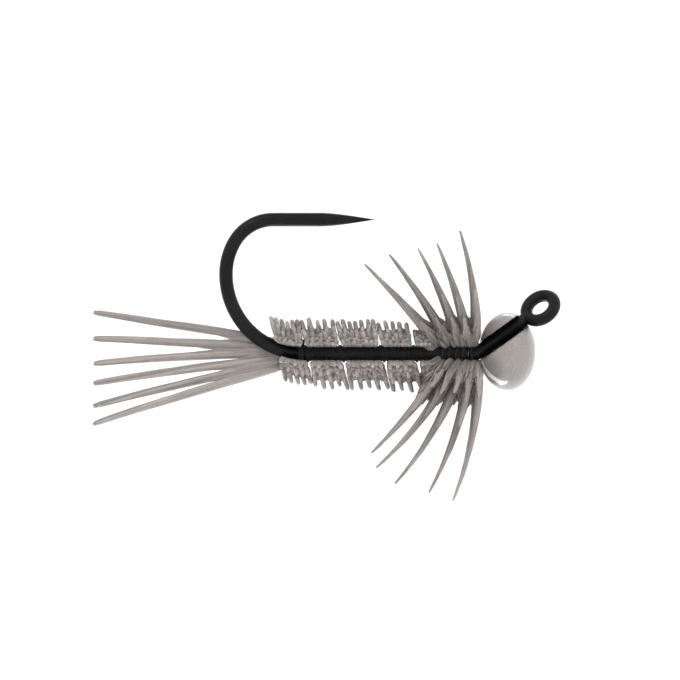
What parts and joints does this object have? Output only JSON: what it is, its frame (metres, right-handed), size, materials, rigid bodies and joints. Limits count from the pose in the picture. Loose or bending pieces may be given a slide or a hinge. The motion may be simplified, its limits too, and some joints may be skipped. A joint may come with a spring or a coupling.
{
  "type": "weighted jig nymph fly",
  "caption": "Barbless jig hook dressed with a slotted bead, a fibre tail, a ringed dubbing body and a swept hackle collar.",
  "frame": {"origin": "centre of the hook's eye", "axes": "+X forward along the shank from the bend to the eye, +Z towards the side that the hook point is on, Y across the fly"},
  "size_m": [0.024, 0.0108, 0.0148],
  "materials": {
    "black_hook_wire": "satin",
    "grey_bead": "satin",
    "black_thread": "satin",
    "varnish": "gloss",
    "hackle_quill": "satin",
    "grey_dubbing": "matte",
    "hackle_feather": "satin",
    "tail_feather": "satin"
  },
  "bodies": {
    "root": {"hook": "black_hook_wire", "bead": "grey_bead", "thread_base": "black_thread", "binding_turns": "black_thread", "head_wraps": "black_thread", "head_cement": "varnish", "hackle_stem": "hackle_quill", "dubbing_upper_1": "grey_dubbing", "dubbing_lower_1": "grey_dubbing", "dubbing_upper_2": "grey_dubbing", "dubbing_lower_2": "grey_dubbing", "dubbing_upper_3": "grey_dubbing", "dubbing_lower_3": "grey_dubbing", "dubbing_upper_4": "grey_dubbing", "dubbing_lower_4": "grey_dubbing", "thorax_upper": "grey_dubbing", "thorax_lower": "grey_dubbing", "tail_butts": "tail_feather", "tail_wraps": "black_thread"},
    "hackle_lower_1": {"hackle_lower_1": "hackle_feather"},
    "hackle_lower_2": {"hackle_lower_2": "hackle_feather"},
    "hackle_lower_3": {"hackle_lower_3": "hackle_feather"},
    "hackle_lower_4": {"hackle_lower_4": "hackle_feather"},
    "hackle_lower_5": {"hackle_lower_5": "hackle_feather"},
    "hackle_upper_1": {"hackle_upper_1": "hackle_feather"},
    "hackle_upper_2": {"hackle_upper_2": "hackle_feather"},
    "hackle_upper_3": {"hackle_upper_3": "hackle_feather"},
    "hackle_upper_4": {"hackle_upper_4": "hackle_feather"},
    "hackle_upper_5": {"hackle_upper_5": "hackle_feather"},
    "tail_fibre_1": {"tail_fibre_1": "tail_feather"},
    "tail_fibre_2": {"tail_fibre_2": "tail_feather"},
    "tail_fibre_3": {"tail_fibre_3": "tail_feather"},
    "tail_fibre_4": {"tail_fibre_4": "tail_feather"},
    "tail_fibre_5": {"tail_fibre_5": "tail_feather"},
    "tail_fibre_6": {"tail_fibre_6": "tail_feather"}
  },
  "joints": [
    {"name": "hackle_lower_1_sweep", "type": "hinge", "parent": "root", "child": "hackle_lower_1", "pos_m": [-0.00489, 0, -0.00295], "axis": [0, 1, 0], "range_deg": [-1.76, 8.41], "stiffness_Nm_per_rad": 0.000004},
    {"name": "hackle_lower_2_sweep", "type": "hinge", "parent": "root", "child": "hackle_lower_2", "pos_m": [-0.00443, 0, -0.00295], "axis": [0, 1, 0], "range_deg": [-2.11, 10.09], "stiffness_Nm_per_rad": 0.000004},
    {"name": "hackle_lower_3_sweep", "type": "hinge", "parent": "root", "child": "hackle_lower_3", "pos_m": [-0.00399, 0, -0.00295], "axis": [0, 1, 0], "range_deg": [-3.11, 14.89], "stiffness_Nm_per_rad": 0.000004},
    {"name": "hackle_lower_4_sweep", "type": "hinge", "parent": "root", "child": "hackle_lower_4", "pos_m": [-0.00358, 0, -0.00295], "axis": [0, 1, 0], "range_deg": [-4.26, 20.41], "stiffness_Nm_per_rad": 0.000004},
    {"name": "hackle_sweep", "type": "hinge", "parent": "root", "child": "hackle_lower_5", "pos_m": [-0.00319, 0, -0.00295], "axis": [0, 1, 0], "range_deg": [-5, 24], "stiffness_Nm_per_rad": 0.000004},
    {"name": "hackle_upper_1_sweep", "type": "hinge", "parent": "root", "child": "hackle_upper_1", "pos_m": [-0.0053, 0, -0.00171], "axis": [0, -1, 0], "range_deg": [-1.26, 6.01], "stiffness_Nm_per_rad": 0.000004},
    {"name": "hackle_upper_2_sweep", "type": "hinge", "parent": "root", "child": "hackle_upper_2", "pos_m": [-0.00473, 0, -0.00171], "axis": [0, -1, 0], "range_deg": [-2.26, 10.81], "stiffness_Nm_per_rad": 0.000004},
    {"name": "hackle_upper_3_sweep", "type": "hinge", "parent": "root", "child": "hackle_upper_3", "pos_m": [-0.00419, 0, -0.00171], "axis": [0, -1, 0], "range_deg": [-3.26, 15.61], "stiffness_Nm_per_rad": 0.000004},
    {"name": "hackle_upper_4_sweep", "type": "hinge", "parent": "root", "child": "hackle_upper_4", "pos_m": [-0.00373, 0, -0.00171], "axis": [0, -1, 0], "range_deg": [-4.26, 20.41], "stiffness_Nm_per_rad": 0.000004},
    {"name": "hackle_upper_5_sweep", "type": "hinge", "parent": "root", "child": "hackle_upper_5", "pos_m": [-0.00332, 0, -0.00171], "axis": [0, -1, 0], "range_deg": [-5.01, 24.01], "stiffness_Nm_per_rad": 0.000004},
    {"name": "tail_fibre_1_close", "type": "hinge", "parent": "root", "child": "tail_fibre_1", "pos_m": [-0.01355, 0.00056, -0.00168], "axis": [0, 1, 0], "range_deg": [-6.25, 1.71], "stiffness_Nm_per_rad": 0.000002},
    {"name": "tail_fibre_2_close", "type": "hinge", "parent": "root", "child": "tail_fibre_2", "pos_m": [-0.01355, 0.00056, -0.00202], "axis": [0, 1, 0], "range_deg": [-3.48, 0.96], "stiffness_Nm_per_rad": 0.000002},
    {"name": "tail_fibre_3_close", "type": "hinge", "parent": "root", "child": "tail_fibre_3", "pos_m": [-0.01355, 0.00056, -0.00235], "axis": [0, 1, 0], "range_deg": [-0.81, 0.23], "stiffness_Nm_per_rad": 0.000002},
    {"name": "tail_fibre_4_close", "type": "hinge", "parent": "root", "child": "tail_fibre_4", "pos_m": [-0.01355, 0.00044, -0.00261], "axis": [0, 1, 0], "range_deg": [-0.37, 1.32], "stiffness_Nm_per_rad": 0.000002},
    {"name": "tail_fibre_5_close", "type": "hinge", "parent": "root", "child": "tail_fibre_5", "pos_m": [-0.01355, 0.0003, -0.00291], "axis": [0, 1, 0], "range_deg": [-1.02, 3.71], "stiffness_Nm_per_rad": 0.000002},
    {"name": "tail_close", "type": "hinge", "parent": "root", "child": "tail_fibre_6", "pos_m": [-0.01355, -0.0001, -0.00315], "axis": [0, 1, 0], "range_deg": [-1.5, 5.5], "stiffness_Nm_per_rad": 0.000002}
  ],
  "couplings": [
    {"joint": "hackle_lower_1_sweep", "follows": "hackle_sweep", "ratio": 0.35},
    {"joint": "hackle_lower_2_sweep", "follows": "hackle_sweep", "ratio": 0.42},
    {"joint": "hackle_lower_3_sweep", "follows": "hackle_sweep", "ratio": 0.62},
    {"joint": "hackle_lower_4_sweep", "follows": "hackle_sweep", "ratio": 0.85},
    {"joint": "hackle_upper_1_sweep", "follows": "hackle_sweep", "ratio": 0.25},
    {"joint": "hackle_upper_2_sweep", "follows": "hackle_sweep", "ratio": 0.45},
    {"joint": "hackle_upper_3_sweep", "follows": "hackle_sweep", "ratio": 0.65},
    {"joint": "hackle_upper_4_sweep", "follows": "hackle_sweep", "ratio": 0.85},
    {"joint": "hackle_upper_5_sweep", "follows": "hackle_sweep", "ratio": 1},
    {"joint": "tail_fibre_1_close", "follows": "tail_close", "ratio": -1.1339},
    {"joint": "tail_fibre_2_close", "follows": "tail_close", "ratio": -0.6318},
    {"joint": "tail_fibre_3_close", "follows": "tail_close", "ratio": -0.1464},
    {"joint": "tail_fibre_4_close", "follows": "tail_close", "ratio": 0.2385},
    {"joint": "tail_fibre_5_close", "follows": "tail_close", "ratio": 0.6736}
  ]
}
